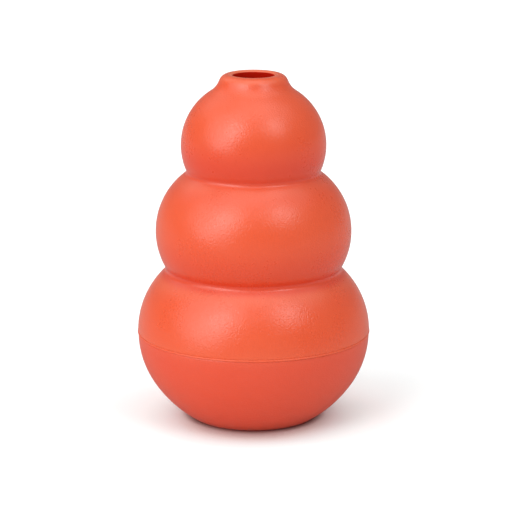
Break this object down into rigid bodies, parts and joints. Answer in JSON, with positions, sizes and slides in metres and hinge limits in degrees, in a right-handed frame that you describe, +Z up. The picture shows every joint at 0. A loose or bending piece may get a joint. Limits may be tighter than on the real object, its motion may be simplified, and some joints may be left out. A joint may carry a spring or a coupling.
{
  "type": "rubber chew toy",
  "caption": "Hollow rubber chew toy of stacked round lobes, with a vent nozzle on top, a fill mouth in the flat foot and a bonded seam round the base.",
  "frame": {"origin": "centre of the flat foot, on the surface that the toy stands on", "axes": "+Z up along the toy's axis of revolution, from the foot to the nozzle; +X and +Y are any two square directions, since the toy is round"},
  "size_m": [0.0702, 0.0702, 0.1045],
  "materials": {
    "upper_rubber": "satin moulded rubber, coral red",
    "lower_rubber": "matt moulded rubber, coral red, a little duller than the upper shell",
    "rubber_cement": "cured rubber cement, light coral, glossy bead"
  },
  "bodies": {
    "root": {"upper_shell": "upper_rubber", "lower_shell": "lower_rubber", "bond_ring": "rubber_cement"}
  },
  "joints": []
}
